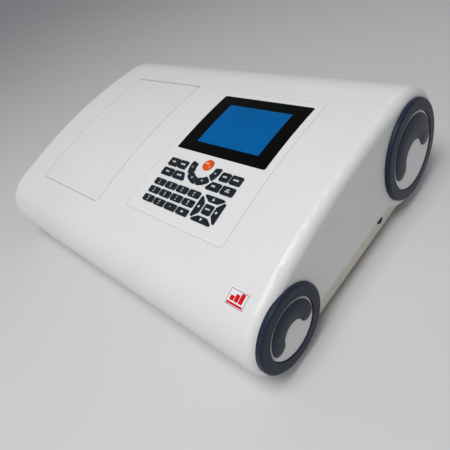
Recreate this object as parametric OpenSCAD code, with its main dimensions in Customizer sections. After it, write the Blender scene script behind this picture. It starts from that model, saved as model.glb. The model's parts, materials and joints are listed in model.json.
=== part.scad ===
// Bench spectrophotometer: moulded cover on a steel tray, sample compartment, panel and optics.
// Millimetres. X to the right, Y to the rear, Z up. Origin on the bench, under the middle.

/* [Body] */
// Width of the moulded cover
body_w = 592; // [560:1:620]
// Depth over both rolls
body_depth = 434; // [420:1:450]
// Radius of the roll along the front
front_roll_r = 59; // [55:1:62]
// Radius of the roll along the rear
rear_roll_r = 84; // [80:1:88]
// Radius of the long arc of the top
top_arc_r = 915; // [860:5:980]
// Rounding of the cover's end edges
edge_r = 13; // [12:0.5:14]
// Wall thickness of the cover
wall = 3.5; // [3:0.1:4]
// Height of the cover's lower edge between the rolls
seam_z = 45; // [42:1:46]
// Height of the feet
foot_h = 7; // [5:0.5:9]

/* [End trim] */
// Outer radius of the front rings
front_ring_r = 52.6; // [51:0.1:53]
// Inner radius of the front rings
front_ring_in = 37.8; // [36:0.1:39]
// Outer radius of the rear rings
rear_ring_r = 69.8; // [68:0.1:71]
// Inner radius of the rear rings
rear_ring_in = 54.4; // [52:0.1:56]
// How far the front rings stand out of the cover
front_ring_proud = 5; // [4:0.1:6]
// How far the rear rings stand out of the cover
rear_ring_proud = 6; // [5:0.1:7]

/* [Lid] */
// Width of the sample lid
lid_w = 173.6; // [170:0.1:176]
// Length of the sample lid
lid_len = 251; // [248:0.5:252]
// Middle of the sample lid, from the middle of the body
lid_x = -132.6; // [-134:0.1:-131]
// Front edge of the sample lid
lid_y0 = -155.4; // [-157:0.1:-155]
// Gap along the lid's sides
lid_gap = 0.8; // [0.6:0.1:1]
// Gap behind the lid, where its rear lip turns down
lid_rear_gap = 2.2; // [2.1:0.1:2.6]
// Depth of the hinge axis under the top
hinge_drop = 9; // [9:0.5:10]
// Distance from the hinge axis to the lid's rear edge
hinge_lip = 24; // [22:0.5:25]

/* [Control panel] */
// Width of the control panel
panel_w = 192; // [190:1:194]
// Length of the control panel
panel_len = 236; // [235:0.5:237]
// Middle of the control panel
panel_x = 112.9; // [112:0.1:114]
// Front edge of the control panel
panel_y0 = -142.5; // [-143:0.5:-142]
// Width of the display window
window_w = 166.1; // [164:0.1:168]
// Length of the display window
window_len = 117.8; // [116:0.1:119]
// Width of the picture area
screen_w = 115.2; // [114:0.1:116]
// Length of the picture area
screen_len = 80.4; // [78:0.1:82]
// Middle of the picture area
screen_y = 22.7; // [22:0.1:24]

/* [Keys] */
// Middle of the digit keys' first column
digit_x = 51.7; // [51:0.1:52]
// Middle of the digit keys' rear row
digit_y = -95.1; // [-96:0.1:-95]
// Column pitch of the digit keys
digit_pitch_x = 23.5; // [23.4:0.1:23.8]
// Row pitch of the digit keys
digit_pitch_y = 13.3; // [13.1:0.1:13.5]
// Height of a key over the panel
key_proud = 1.8; // [1.4:0.1:2.2]
// How far a key travels
key_travel = 1.2; // [0.8:0.1:1.2]
// Radius of the round start button
start_r = 8.7; // [8:0.1:9]

/* [Sample compartment] */
// Height of the light beam
beam_z = 85; // [84:1:87]
// Place of the light beam along the depth
beam_y = -20; // [-21:1:-19]
// Distance between two cuvette slots
cell_pitch = 22; // [21:0.5:22]
// Inner width of a cuvette slot
cell_w = 12.7; // [12.6:0.1:12.9]

/* [Hidden] */
$fn = 72;
front_y = front_roll_r - body_depth / 2;
front_z = foot_h + front_roll_r;
rear_y = body_depth / 2 - rear_roll_r;
rear_z = foot_h + rear_roll_r;
// Centre of the long top arc, which touches both rolls from outside.
span = norm([rear_y - front_y, rear_z - front_z]);
reach_front = top_arc_r - front_roll_r;
reach_rear = top_arc_r - rear_roll_r;
foot_along = (reach_front ^ 2 - reach_rear ^ 2 + span ^ 2) / (2 * span);
foot_off = sqrt(reach_front ^ 2 - foot_along ^ 2);
along = [rear_y - front_y, rear_z - front_z] / span;
arc_y = front_y + foot_along * along[0] + foot_off * along[1];
arc_z = front_z + foot_along * along[1] - foot_off * along[0];
lean_front = asin((front_y - arc_y) / reach_front);
lean_rear = asin((rear_y - arc_y) / reach_rear);

function top_z(y) = arc_z + sqrt(top_arc_r ^ 2 - (y - arc_y) ^ 2);
function lean(y) = asin((y - arc_y) / top_arc_r);

ring_seat = 2;
// Height of each ring's disc: the dark arch on it ends level with the ring.
inlay_t = 1.2;
front_boss_proud = front_ring_proud - inlay_t;
rear_boss_proud = rear_ring_proud - inlay_t;
rear_inlay_turn = 6;

tray_inset = 10.5;
tray_t = 2;
roll_gap = 0.5;
tray_rim_z = seam_z + 1.5;
plate_z = 50;
plate_t = 6;
deck_z = plate_z + plate_t;
screw_y = 55;
screw_z = 26;

lid_y1 = lid_y0 + lid_len;
lid_y = (lid_y0 + lid_y1) / 2;
hinge_y = lid_y1 - hinge_lip;
hinge_z = top_z(hinge_y) - hinge_drop;
hinge_pin_r = 2;
knuckle_r = 5;
ear_x = 66;

well_w = 159;
well_y0 = -146;
well_y1 = 62;
well_t = 2.5;
trough_w = 178.2;
trough_y1 = lid_y1 + 2.4;
trough_z = hinge_z - 27.5;
floor_z = deck_z + well_t;
rail_h = 4;
slot_z = 70;
block_z = 100;

panel_y = panel_y0 + panel_len / 2;
window_y = 23.4;
window_x = 113.5;
screen_x = 115.2;
window_t = 1.5;
board_drop = 8.8;
key_fit = 0.2;
flange_drop = 0.8;
flange_lap = 0.6;
flange_t = 1;

rear_panel_x = 140;
rear_panel_w = 140;
rear_panel_h = 60;
rear_panel_z = 82;
rear_panel_y = 204;
inlet_x = 105;
switch_x = 165;
switch_turn = 8;
pivot_r = 1.5;

lamp_x = 155;
lamp_y = 40;
grating_at = [45, -5];
wheel_x = 106;

shell_white = [0.89, 0.88, 0.86];
slate = [0.18, 0.21, 0.27];
key_grey = [0.14, 0.19, 0.23];
steel = [0.62, 0.63, 0.65];
alu = [0.72, 0.73, 0.75];
black = [0.06, 0.06, 0.07];
board_green = [0.10, 0.33, 0.20];

// Names of the keys, from the rear left of each group.
DIGITS = ["digit_key_1", "digit_key_2", "digit_key_3", "digit_key_4",
          "digit_key_5", "digit_key_6", "digit_key_7", "digit_key_8",
          "digit_key_9", "digit_key_0", "point_key", "clear_key"];
PAD = ["up_key", "left_key", "down_key", "right_key"];
ARCS = [for (i = [1:4]) str("arc_key_", i)];
FUNCTIONS = [for (i = [1:8]) str("function_key_", i)];

keys_x = 109.7;
pad_at = [158, -108];
ring_at = [110.4, -55.7];
start_at = [110.2, -50.8];
upper_row_y = -61.05;
lower_row_y = -77.7;

// ---- shared shapes ----

// Turns a shape drawn as (radius, length) round an axis along X, between two leans from upright.
module turned_about_x(from, to) {
    rotate([0, 90, 0]) rotate([0, 0, 180 - to]) rotate_extrude(angle = to - from, $fn = 180) children();
}

module at_front_axis() { translate([0, front_y, front_z]) children(); }
module at_rear_axis() { translate([0, rear_y, rear_z]) children(); }
module at_arc_axis() { translate([0, arc_y, arc_z]) children(); }

// Extrudes a shape drawn in the side view (Y, Z) from x upwards.
module along_x(x, length) { translate([x, 0, 0]) rotate([90, 0, 90]) linear_extrude(length) children(); }

// A shape and its twin on the other side.
module both_sides() {
    children();
    mirror([1, 0, 0]) children();
}

// Places a shape on the long top arc, with Z along its normal.
module on_top(x, y) { translate([x, y, top_z(y)]) rotate([-lean(y), 0, 0]) children(); }

// Half of a roll's section: its end corners rounded.
module roll_section(r_in, r, w, corner) {
    translate([r_in, -w / 2]) square([r - corner - r_in, w]);
    translate([r_in, corner - w / 2]) square([r - r_in, w - 2 * corner]);
    for (s = [-1, 1]) translate([r - corner, s * (w / 2 - corner)]) circle(corner);
}

// A convex outline through corner centres, given anticlockwise, rounded by rho.
module rounded_outline(centres, rho) {
    polygon(centres);
    for (i = [0 : len(centres) - 1]) {
        p = centres[i];
        q = centres[(i + 1) % len(centres)];
        n = rho * [q[1] - p[1], p[0] - q[0]] / norm(q - p);
        polygon([p, p + n, q + n, q]);
        translate(p) circle(rho, $fn = 32);
    }
}

// The same as one polygon, for outlines with slanted sides.
module slanted_outline(centres, rho) {
    count = len(centres);
    steps = 5;
    polygon([for (i = [0 : count - 1], k = [0 : steps])
        let (before = centres[(i + count - 1) % count], at = centres[i], after = centres[(i + 1) % count],
             from = atan2(at[1] - before[1], at[0] - before[0]) - 90,
             to = atan2(after[1] - at[1], after[0] - at[0]) - 90,
             angle = from + ((to - from + 360) % 360) * k / steps)
        at + rho * [cos(angle), sin(angle)]]);
}

module rounded_rect(w, l, r) {
    a = w / 2 - r;
    b = l / 2 - r;
    rounded_outline([[-a, -b], [a, -b], [a, b], [-a, b]], r);
}

// A slab that follows the top arc, between two depths under it, inside an upright prism.
module arc_slab(deep, shallow) {
    intersection() {
        at_arc_axis() turned_about_x(lean_front, lean_rear)
            translate([top_arc_r - deep, -body_w / 2]) square([deep - shallow, body_w]);
        linear_extrude(top_z(arc_y) + 10) children();
    }
}

// Everything under the cover's outer surface, taken in by t on all sides. The rolls lie a hair under
// the long arc, so that the surfaces never graze each other.
module body_solid(t, bottom) {
    under = t + 0.05;
    at_front_axis() turned_about_x(0, 360)
        roll_section(0, front_roll_r - under, body_w - 2 * under, edge_r - under);
    at_rear_axis() turned_about_x(0, 360)
        roll_section(0, rear_roll_r - under, body_w - 2 * under, edge_r - under);
    difference() {
        at_arc_axis() turned_about_x(lean_front, lean_rear)
            roll_section(top_arc_r - 150, top_arc_r - t, body_w - 2 * t, edge_r - t);
        translate([-body_w, front_y - 60, bottom - 200]) cube([2 * body_w, body_depth, 200]);
    }
}

// ---- covers and trim ----

module cover_lug() {
    x0 = body_w / 2 - tray_inset - tray_t - 4.3;
    difference() {
        union() {
            translate([x0, screw_y - 8, 15]) cube([4, 15, 23]);
            translate([x0, screw_y - 8, 37]) cube([4, 9, 23]);
            translate([x0, screw_y - 8, 52]) cube([body_w / 2 - wall - x0 + 0.5, 9, 8]);
        }
        translate([x0 - 1, screw_y, screw_z]) rotate([0, 90, 0]) cylinder(h = 8, r = 2.5);
    }
}

module top_cover() {
    color(shell_white) {
        difference() {
            body_solid(0, seam_z);
            body_solid(wall, seam_z - 1);
            linear_extrude(400) translate([lid_x, (lid_y0 - lid_gap + lid_y1 + lid_rear_gap) / 2])
                rounded_rect(lid_w + 2 * lid_gap, lid_len + lid_gap + lid_rear_gap, 5);
            linear_extrude(400) translate([panel_x, panel_y]) rounded_rect(panel_w, panel_len, 6);
            translate([rear_panel_x - rear_panel_w / 2, rear_y + 40, rear_panel_z - rear_panel_h / 2])
                cube([rear_panel_w, 60, rear_panel_h]);
            both_sides() {
                at_front_axis() end_ring_seat(front_ring_r + 0.2, front_ring_in - 0.2);
                at_rear_axis() end_ring_seat(rear_ring_r + 0.2, rear_ring_in - 0.2);
            }
        }
        both_sides() {
            at_front_axis() end_boss(front_ring_in - 0.6, front_boss_proud);
            at_rear_axis() end_boss(rear_ring_in - 0.6, rear_boss_proud);
            cover_lug();
        }
    }
}

module end_ring_seat(r, r_in) {
    translate([body_w / 2 - ring_seat, 0, 0]) rotate([0, 90, 0]) difference() {
        cylinder(h = 10, r = r);
        translate([0, 0, -1]) cylinder(h = 12, r = r_in);
    }
}

// The white disc inside each ring, moulded on the cover.
module end_boss(r, proud) {
    translate([body_w / 2 - 0.5, 0, 0]) rotate([0, 90, 0]) {
        cylinder(h = proud - 0.5, r = r);
        cylinder(h = proud + 0.5, r = r - 1);
    }
}

// A ring's section as (radius, height): its outer shoulder is rounded.
module ring(r, r_in, h, shoulder) {
    rotate([0, 90, 0]) rotate_extrude($fn = 120) {
        translate([r_in, 0]) square([r - r_in - shoulder, h]);
        translate([r_in, 0]) square([r - r_in, h - shoulder]);
        translate([r - shoulder, h - shoulder]) circle(shoulder);
    }
}

module front_rings() {
    color(slate) both_sides() translate([body_w / 2 - ring_seat, 0, 0])
        at_front_axis() ring(front_ring_r, front_ring_in, ring_seat + front_ring_proud, 3);
}

module rear_rings() {
    color(slate) both_sides() translate([body_w / 2 - ring_seat, 0, 0])
        at_rear_axis() ring(rear_ring_r, rear_ring_in, ring_seat + rear_ring_proud, 3.5);
}

// Points of an arc, between two angles.
function arc_points(centre, r, from, to, steps) =
    [for (k = [0 : steps]) let (a = from + (to - from) * k / steps) centre + r * [cos(a), sin(a)]];

// An arch with round feet: the inner circle sits lower than the outer one.
module arch_outline(r) {
    r_in = 0.47 * r;
    drop = 0.2 * r;
    foot_y = -0.055 * r;
    outer_end = asin(foot_y / r);
    inner_end = asin((foot_y + drop) / r_in);
    outer_x = r * cos(outer_end);
    inner_x = r_in * cos(inner_end);
    foot = [(outer_x + inner_x) / 2, foot_y];
    foot_r = (outer_x - inner_x) / 2;
    polygon(concat(arc_points([0, 0], r, outer_end, 180 - outer_end, 40),
                   arc_points([-foot[0], foot[1]], foot_r, 190, 350, 8),
                   arc_points([0, -drop], r_in, 180 - inner_end, inner_end, 24),
                   arc_points(foot, foot_r, 190, 350, 8)));
}

module front_inlays() {
    color(slate) both_sides() at_front_axis()
        along_x(body_w / 2 + front_boss_proud, inlay_t) arch_outline(front_ring_in - 3);
}

module rear_inlays() {
    color(slate) both_sides() at_rear_axis()
        along_x(body_w / 2 + rear_boss_proud, inlay_t) rotate(rear_inlay_turn) arch_outline(rear_ring_in - 3.6);
}

// A label that follows the roll and the arc where they meet.
module badge() {
    label_y = -179.7;
    color([0.93, 0.93, 0.92]) intersection() {
        difference() {
            body_solid(-0.6, seam_z);
            body_solid(0, seam_z);
        }
        translate([260, label_y, 100]) rounded_prism(26, 17.8, 1.5, 60);
    }
}

module rounded_prism(w, l, r, h) { linear_extrude(h) rounded_rect(w, l, r); }

// ---- base ----

module tray_form(t, z0, z1) {
    difference() {
        translate([t - body_w / 2 + tray_inset, front_y, z0])
            cube([body_w - 2 * (tray_inset + t), rear_y - front_y, z1 - z0]);
        at_front_axis() along_x(-body_w, 2 * body_w) circle(front_roll_r + roll_gap + t, $fn = 180);
        at_rear_axis() along_x(-body_w, 2 * body_w) circle(rear_roll_r + roll_gap + t, $fn = 180);
    }
}

module base_tray() {
    rim_y0 = -99;
    rim_y1 = 55;
    color(steel) difference() {
        union() {
            difference() {
                tray_form(0, foot_h, tray_rim_z + tray_t);
                tray_form(tray_t, foot_h + tray_t, tray_rim_z + tray_t + 1);
            }
            both_sides() translate([body_w / 2 - tray_inset - 0.1, rim_y0, tray_rim_z])
                cube([tray_inset - wall - 0.4, rim_y1 - rim_y0, tray_t]);
            for (x = [-255, 225], y = [-78, 42]) translate([x, y, foot_h + tray_t])
                cylinder(h = plate_z - foot_h - tray_t, r = 6);
            for (x = [-8, 178], y = [-75, 30]) translate([x, y, foot_h + tray_t]) cylinder(h = 10, r = 4);
        }
        both_sides() translate([body_w / 2 - 20, screw_y, screw_z]) rotate([0, 90, 0])
            cylinder(h = 20, r = 2.6);
        for (x = [-150, 210], k = [0 : 7]) translate([x, 12 * k - 70, 0]) linear_extrude(20)
            rounded_rect(44, 4, 1.9);
    }
}

module feet() {
    color([0.1, 0.1, 0.1]) for (x = [-245, 245], y = [-112, 72]) translate([x, y, 0]) {
        cylinder(h = 2, r1 = 11, r2 = 12.5);
        translate([0, 0, 2]) cylinder(h = foot_h - 2, r = 12.5);
    }
}

module cover_screws() {
    color([0.16, 0.16, 0.17]) both_sides()
        translate([body_w / 2 - tray_inset, screw_y, screw_z]) rotate([0, 90, 0]) {
            difference() {
                cylinder(h = 2.6, r1 = 6, r2 = 5);
                translate([0, 0, 0.8]) cylinder(h = 3, r = 3.4);
            }
            translate([0, 0, 0.6]) cylinder(h = 1.2, r = 2.4);
            translate([0, 0, -6.5]) cylinder(h = 7, r = 2.5);
        }
}

// ---- lid and its hinge ----

module lid_ear(x) {
    along_x(x - 2, 4) difference() {
        union() {
            translate([hinge_y, hinge_z]) circle(knuckle_r);
            translate([hinge_y - knuckle_r, hinge_z]) square([2 * knuckle_r, hinge_drop - wall + 0.4]);
        }
        translate([hinge_y, hinge_z]) circle(hinge_pin_r + 0.05);
    }
}

module lid() {
    rib_w = well_w - 4;
    rib_y0 = well_y0 + 3;
    rib_y1 = well_y1 - 8;
    color(shell_white) {
        arc_slab(wall, 0) translate([lid_x, lid_y]) rounded_rect(lid_w, lid_len, 4.5);
        arc_slab(wall + 6, wall - 0.5) translate([lid_x, (rib_y0 + rib_y1) / 2]) difference() {
            rounded_rect(rib_w, rib_y1 - rib_y0, 5);
            rounded_rect(rib_w - 4, rib_y1 - rib_y0 - 4, 3);
        }
        for (s = [-1, 1]) lid_ear(lid_x + s * ear_x);
    }
}

module hinge_pins() {
    color(alu) for (s = [-1, 1])
        translate([lid_x + s * (ear_x + 2) - 6.5, hinge_y, hinge_z]) rotate([0, 90, 0])
            cylinder(h = 13, r = hinge_pin_r);
}

// ---- control panel ----

module window_outline(g) { translate([window_x, window_y]) rounded_rect(window_w + g, window_len + g, 3); }

module control_panel() {
    color(shell_white) difference() {
        union() {
            arc_slab(wall, 0) translate([panel_x, panel_y])
                rounded_rect(panel_w - 0.7, panel_len - 0.7, 5.6);
            arc_slab(wall + 2, wall + 0.1) translate([panel_x, panel_y]) difference() {
                rounded_rect(panel_w + 8, panel_len + 8, 8);
                rounded_rect(panel_w - 6, panel_len - 6, 3);
            }
            arc_slab(wall + 0.2, wall - 0.2) translate([panel_x, panel_y]) difference() {
                rounded_rect(panel_w - 0.7, panel_len - 0.7, 5.6);
                rounded_rect(panel_w - 6, panel_len - 6, 3);
            }
            for (x = [36, 184], y = [-133, -43]) on_top(x, y) translate([0, 0, -board_drop])
                cylinder(h = board_drop - 1, r = 3);
            for (x = [38, 192], y = [-24, 70]) on_top(x, y) translate([0, 0, -9]) cylinder(h = 8, r = 3);
        }
        arc_slab(window_t + 0.3, -1) window_outline(0.4);
        arc_slab(wall + 1, -1) translate([screen_x, screen_y]) rounded_rect(screen_w + 6, screen_len + 6, 2);
        key_field(key_fit, -wall - 1, 3);
    }
}

module display_window() {
    color(black) arc_slab(window_t + 0.3, 0.1) window_outline(0);
}

module display_module() {
    color([0.02, 0.35, 0.62]) on_top(screen_x, screen_y) {
        translate([-71, -46, -12.4]) cube([142, 92, 7]);
        translate([-80, -52, -14]) cube([160, 104, 1.7]);
        translate([-30, -30, -18]) cube([60, 20, 4.5]);
    }
}

module key_board() {
    color(board_green) {
        arc_slab(board_drop + 1.6, board_drop) translate([110, -88]) rounded_rect(160, 98, 3);
        on_top(110, -127) translate([-20, -5, -board_drop - 7]) cube([40, 8, 6]);
    }
}

// ---- keys ----

// One key in its own frame: cap, the flange that keeps it in, and the plunger over its switch.
module key_solid(kind, size, top, reach) {
    color(kind == "round" ? [0.92, 0.33, 0.06] : key_grey) {
        translate([0, 0, -wall - flange_drop - 0.2]) linear_extrude(top + wall + flange_drop + 0.2)
            key_outline(kind, size, 0);
        translate([0, 0, -wall - flange_drop - flange_t]) linear_extrude(flange_t)
            key_outline(kind, size, flange_lap);
        translate([reach[0], reach[1], 0.3 + key_travel - board_drop]) cylinder(h = 3.6, r = 2.5);
    }
}

// Outline of a key, grown by g on all sides.
module key_outline(kind, size, g) {
    if (kind == "plain") rounded_rect(size[0] + 2 * g, size[1] + 2 * g, 2 + g);
    if (kind == "round") circle(size[0] + g);
    if (kind == "pad") pad_outline(size[0], size[1], size[2], size[3], g);
    if (kind == "slant") slant_outline(size[0], size[1], size[2], size[3], g);
    if (kind == "arc") arc_outline(size[0], size[1], size[2], size[3], g);
}

// A trapezium with its wide side away from the pad's middle.
module pad_outline(near, far, near_half, far_half, g) {
    r = 1.6;
    slanted_outline([[near + r, -near_half + r], [far - r, -far_half + r],
                     [far - r, far_half - r], [near + r, near_half - r]], r + g);
}

// A key whose side towards the arc keys slants; side is 1 or -1.
module slant_outline(w, l, cut, side, g) {
    r = 2;
    a = w / 2 - r;
    b = l / 2 - r;
    mirror([side < 0 ? 1 : 0, 0]) slanted_outline([[-a, -b], [a, -b], [a - cut, b], [-a, b]], r + g);
}

// A stretch of the ring of keys round the start button, drawn from the ring's centre, with round corners.
module arc_outline(r_in, r_out, from, to, g) {
    half_gap = 1.2;
    r = 2;
    far = asin((half_gap + r) / (r_out - r));
    near = asin((half_gap + r) / (r_in + r));
    function corner(radius, angle) = radius * [cos(angle), sin(angle)];
    polygon(concat(
        arc_points(corner(r_out - r, from + far), r + g, from - 90, from + far - 15, 4),
        arc_points([0, 0], r_out + g, from + far, to - far, 10),
        arc_points(corner(r_out - r, to - far), r + g, to - far + 15, to + 90, 4),
        arc_points(corner(r_in + r, to - near), r + g, to + 90, to - near + 165, 4),
        arc_points([0, 0], r_in - g, to - near, from + near, 8),
        arc_points(corner(r_in + r, from + near), r + g, from + near + 195, from + 270, 4)));
}

module digit_place(i) {
    on_top(digit_x + digit_pitch_x * (i % 4), digit_y - digit_pitch_y * floor(i / 4)) children();
}

module pad_place(i) { on_top(pad_at[0], pad_at[1]) rotate(90 + 90 * i) children(); }

DIGIT_SIZE = [20.5, 9.9];
PAD_TALL = [10.7, 18.8, 8.6, 16.4];
PAD_WIDE = [10.9, 20.9, 7.4, 14.8];
function pad_size(i) = i % 2 == 0 ? PAD_TALL : PAD_WIDE;

ARC_IN = 17.2;
ARC_OUT = 27.8;
arc_start = 167;
arc_step = 51.5;
function arc_size(i) = [ARC_IN, ARC_OUT, arc_start + arc_step * i, arc_start + arc_step * (i + 1)];
function arc_reach(i) =
    (ARC_IN + ARC_OUT) / 2 * [cos(arc_start + arc_step * (i + 0.5)), sin(arc_start + arc_step * (i + 0.5))];

// Function keys 1 to 4 are the rear row from the left, 5 to 8 the front row.
FUNCTION_OFFSET = [-60.1, -40.7, 40.7, 60.1, -58.5, -33.4, 33.4, 58.5];
FUNCTION_WIDTH = [18.4, 15.4, 15.4, 18.4, 21.6, 22.9, 22.9, 21.6];
module function_place(i) {
    on_top(keys_x + FUNCTION_OFFSET[i], i < 4 ? upper_row_y : lower_row_y) children();
}
function function_kind(i) = i == 5 || i == 6 ? "slant" : "plain";
function function_size(i) = [FUNCTION_WIDTH[i], i < 4 ? 13.2 : 12.1, 5, i == 6 ? -1 : 1];

// Every key's outline as an upright cut, for the holes in the panel.
module key_field(g, from, to) {
    for (i = [0 : 11]) digit_place(i) key_cut("plain", DIGIT_SIZE, g, from, to);
    for (i = [0 : 3]) pad_place(i) key_cut("pad", pad_size(i), g, from, to);
    for (i = [0 : 3]) on_top(ring_at[0], ring_at[1]) key_cut("arc", arc_size(i), g, from, to);
    for (i = [0 : 7]) function_place(i) key_cut(function_kind(i), function_size(i), g, from, to);
    on_top(pad_at[0], pad_at[1]) key_cut("plain", [14.6, 14], g, from, to);
    on_top(start_at[0], start_at[1]) key_cut("round", [start_r, 0], g, from, to);
}

module key_cut(kind, size, g, from, to) {
    translate([0, 0, from]) linear_extrude(to - from) key_outline(kind, size, g);
}

module start_button() {
    dome_h = 3.4;
    dome_r = (start_r ^ 2 + dome_h ^ 2) / (2 * dome_h);
    on_top(start_at[0], start_at[1]) {
        key_solid("round", [start_r, 0], 1, [0, 0]);
        color([0.92, 0.33, 0.06]) intersection() {
            translate([0, 0, 0.5]) cylinder(h = 10, r = start_r);
            translate([0, 0, 1 + dome_h - dome_r]) sphere(dome_r);
        }
    }
}

module enter_key() { on_top(pad_at[0], pad_at[1]) key_solid("plain", [14.6, 14], key_proud, [0, 0]); }

// ---- sample compartment ----

module hinge_post(x) {
    along_x(x - 2, 4) difference() {
        union() {
            translate([hinge_y, hinge_z]) circle(knuckle_r);
            translate([hinge_y - 8, trough_z - 1]) square([8 + knuckle_r, hinge_z - trough_z + 1]);
        }
        translate([hinge_y, hinge_z]) circle(hinge_pin_r);
    }
}

module sample_well() {
    mid_y = (well_y0 + well_y1) / 2;
    color(black) {
        difference() {
            union() {
                intersection() {
                    union() {
                        translate([lid_x, mid_y, deck_z])
                            rounded_prism(well_w + 2 * well_t, well_y1 - well_y0 + 2 * well_t, 6, 200);
                        translate([lid_x - trough_w / 2 - well_t, well_y1, trough_z - well_t])
                            cube([trough_w + 2 * well_t, trough_y1 + well_t - well_y1, 100]);
                    }
                    arc_slab(top_z(arc_y), wall + 0.3) translate([lid_x, 0]) square(600, center = true);
                }
                arc_slab(wall + 2.3, wall + 0.3) translate([lid_x, (well_y0 - 15 + well_y1) / 2])
                    rounded_rect(lid_w + 17, well_y1 - well_y0 + 15, 6);
            }
            translate([lid_x, mid_y, floor_z]) rounded_prism(well_w, well_y1 - well_y0, 4, 200);
            translate([lid_x - trough_w / 2, well_y1 - 1, trough_z])
                cube([trough_w, trough_y1 - well_y1 + 1, 100]);
            translate([lid_x - well_w, beam_y, beam_z]) rotate([0, 90, 0]) cylinder(h = 2 * well_w, r = 7);
        }
        for (s = [-1, 1]) {
            translate([lid_x + 16 * s - 2, well_y0 + 12, floor_z - 0.5])
                cube([4, well_y1 - well_y0 - 16, rail_h + 0.5]);
            hinge_post(lid_x + s * (ear_x + 4.5));
        }
    }
}

module cuvette_carriage() {
    length = 3 * cell_pitch + 24;
    y0 = beam_y - 12;
    color([0.13, 0.13, 0.14]) translate([lid_x, 0, 0]) difference() {
        union() {
            translate([-23, y0, floor_z + 0.4]) cube([46, length, slot_z - floor_z - 1]);
            translate([-11, y0 + 1, slot_z - 1]) cube([22, length - 2, block_z - slot_z + 1]);
        }
        for (s = [-1, 1]) translate([16 * s - 2.3, y0 - 1, floor_z - 1]) cube([4.6, length + 2, rail_h + 1.4]);
        for (i = [0 : 3]) translate([0, beam_y + i * cell_pitch, 0]) {
            translate([-cell_w / 2, -cell_w / 2, slot_z]) cube([cell_w, cell_w, 100]);
            translate([-40, 0, beam_z]) rotate([0, 90, 0]) cylinder(h = 80, r = 4);
        }
    }
}

// ---- optics ----

module optics_plate() {
    color(alu) difference() {
        translate([-270, -88, plate_z]) cube([510, 208, plate_t]);
        for (x = [-255, 225], y = [-78, 42]) translate([x, y, plate_z - 1]) cylinder(h = plate_t + 2, r = 2.2);
        translate([grating_at[0], grating_at[1], plate_z - 1]) cylinder(h = plate_t + 2, r = 9);
    }
}

module box_walls(size, t) {
    difference() {
        cube(size);
        translate([t, t, t]) cube([size[0] - 2 * t, size[1] - 2 * t, size[2]]);
    }
}

module monochromator() {
    color([0.2, 0.2, 0.22]) difference() {
        union() {
            translate([-40, -60, deck_z]) box_walls([140, 145, 60], 4);
            translate([99, lamp_y - 16, beam_z]) rotate([0, 90, 0]) cylinder(h = 12, r = 3);
            for (s = [-1, 1]) translate([25 + 42 * s, 58, deck_z + 3]) rotate(-12 * s)
                translate([-17, 0, 0]) cube([34, 4, 44]);
        }
        translate([-50, beam_y, beam_z]) rotate([0, 90, 0]) cylinder(h = 30, r = 5);
        translate([90, lamp_y - 3, beam_z - 8]) cube([20, 6, 16]);
        translate([grating_at[0], grating_at[1], deck_z - 1]) cylinder(h = 8, r = 5.05);
    }
}

module monochromator_lid() {
    color(alu) {
        translate([-40, -60, deck_z + 60]) cube([140, 145, 2.5]);
        for (x = [-32, 92], y = [-52, 77]) translate([x, y, deck_z + 62]) cylinder(h = 2.6, r = 3.2);
    }
}

module grating_table() {
    color([0.75, 0.72, 0.6]) translate([grating_at[0], grating_at[1], 0]) {
        translate([0, 0, plate_z - 2]) cylinder(h = 14, r = 5);
        translate([0, 0, deck_z + 5]) cylinder(h = 4, r = 17);
        translate([-13, -3, deck_z + 8]) cube([26, 6, 36]);
        translate([0, -4, plate_z - 5]) cube([34, 8, 3.5]);
    }
}

module filter_wheel() {
    color([0.25, 0.25, 0.27]) translate([wheel_x, lamp_y - 16, beam_z]) rotate([0, 90, 0]) difference() {
        union() {
            cylinder(h = 3, r = 24);
            translate([0, 0, -2]) cylinder(h = 6.5, r = 6);
        }
        translate([0, 0, -3]) cylinder(h = 12, r = 3.05);
        for (k = [0 : 5]) rotate(60 * k) translate([0, 16, -1]) cylinder(h = 6, r = 5);
    }
}

module lamp_housing() {
    color(alu) translate([118, 4, deck_z]) difference() {
        cube([80, 76, 66]);
        translate([2, 2, -1]) cube([76, 72, 65]);
        translate([-1, lamp_y - 4, beam_z - deck_z]) rotate([0, 90, 0]) cylinder(h = 5, r = 7);
        for (k = [0 : 6]) translate([12 + 9 * k, 14, 60]) cube([4, 48, 10]);
    }
}

module lamp() {
    color([0.85, 0.86, 0.84]) translate([lamp_x, lamp_y, deck_z]) {
        cylinder(h = 12, r = 11);
        translate([0, 0, 11]) cylinder(h = 10, r = 7);
        translate([0, 0, 20]) cylinder(h = 14, r = 5.5);
        translate([0, 0, 34]) sphere(5.5);
    }
}

module detector() {
    color([0.3, 0.3, 0.32]) {
        translate([-264, beam_y - 26, deck_z]) cube([42, 52, 52]);
        translate([-222.5, beam_y, beam_z]) rotate([0, 90, 0]) cylinder(h = 7.5, r = 9);
    }
}

// ---- electronics ----

module main_board() {
    z = foot_h + tray_t + 10;
    color(board_green) {
        translate([-15, -85, z]) cube([200, 125, 1.6]);
        for (k = [0 : 4]) translate([5 + 34 * k, -70 + 10 * (k % 2), z + 1.5]) cube([20, 20, 2.6]);
        for (k = [0 : 2]) translate([10 + 55 * k, 12, z + 1.5]) cube([38, 10, 9]);
        for (k = [0 : 3]) translate([20 + 40 * k, -14, z + 1.5]) cylinder(h = 14, r = 6);
    }
}

module power_supply() {
    color(steel) translate([-240, -78, foot_h + tray_t]) difference() {
        cube([150, 104, 36]);
        translate([2, 2, 2]) cube([146, 100, 32]);
        for (k = [0 : 9]) translate([16 + 12.5 * k, 14, 30]) cube([5, 76, 10]);
    }
}

// ---- rear connections ----

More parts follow.
